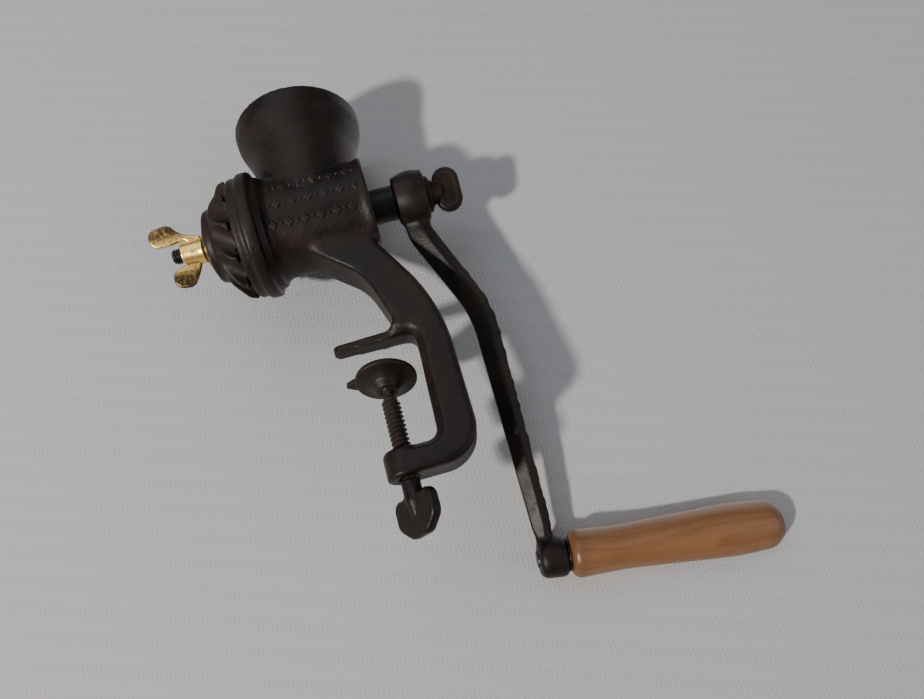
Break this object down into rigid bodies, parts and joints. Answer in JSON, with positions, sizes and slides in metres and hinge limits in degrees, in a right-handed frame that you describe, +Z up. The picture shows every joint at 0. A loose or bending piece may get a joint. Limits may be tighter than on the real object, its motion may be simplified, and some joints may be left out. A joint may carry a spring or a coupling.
{
  "type": "hand coffee mill",
  "caption": "Table-clamp hand coffee mill: open hopper, screw-fed grinding cap, bent crank with a turned wooden grip, and a screw clamp below.",
  "frame": {"origin": "middle of the clamp, on the clamp screw's axis, on the flat underside of the upper jaw that rests on a table top", "axes": "+Z up along the clamp screw; +X along the drive line from the grinding cap towards the crank; +Y away from the side that carries the ornament"},
  "size_m": [0.2619, 0.1037, 0.2646],
  "materials": {
    "dark_iron": "satin",
    "black_iron": "satin",
    "grey_iron": "satin",
    "worn_iron": "satin",
    "black_steel": "satin",
    "grey_steel": "satin",
    "old_brass": "satin",
    "brown_wood": "satin"
  },
  "bodies": {
    "frame": {"mill_body": "dark_iron", "grinding_ring": "grey_iron"},
    "drive": {"feed_worm": "black_iron", "front_stud": "black_steel", "thrust_washer": "grey_steel", "crank_arm": "dark_iron", "thumb_screw": "black_iron", "grip_spindle": "black_steel", "inner_grip_washer": "black_steel", "outer_grip_washer": "grey_steel"},
    "cap": {"grinding_cap": "dark_iron"},
    "nut": {"wing_nut": "old_brass"},
    "handle": {"grip": "brown_wood"},
    "pad": {"clamp_pad": "worn_iron"},
    "screw": {"clamp_screw": "worn_iron"}
  },
  "joints": [
    {"name": "crank_spin", "type": "hinge", "parent": "frame", "child": "drive", "pos_m": [0, 0, 0.0757], "axis": [1, 0, 0], "continuous": true},
    {"name": "grip_spin", "type": "hinge", "parent": "drive", "child": "handle", "pos_m": [0.0542, 0.05526, -0.10504], "axis": [0.9919, 0.0372, -0.1215], "continuous": true},
    {"name": "cap_slide", "type": "slide", "parent": "drive", "child": "cap", "axis": [-1, 0, 0], "range_m": [0, 0.001]},
    {"name": "nut_turn", "type": "hinge", "parent": "cap", "child": "nut", "pos_m": [-0.075, 0, 0.0757], "axis": [-1, 0, 0], "range_deg": [0, 288.1]},
    {"name": "pad_travel", "type": "slide", "parent": "frame", "child": "pad", "axis": [0, 0, 1], "range_m": [-0.022, 0.0045]},
    {"name": "screw_turn", "type": "hinge", "parent": "pad", "child": "screw", "pos_m": [0, 0, -0.05], "axis": [0, 0, 1], "range_deg": [-3772, 772]}
  ],
  "couplings": [
    {"joint": "nut_turn", "follows": "cap_slide", "rad_per_m": 5026.5},
    {"joint": "screw_turn", "follows": "pad_travel", "rad_per_m": 2992}
  ]
}
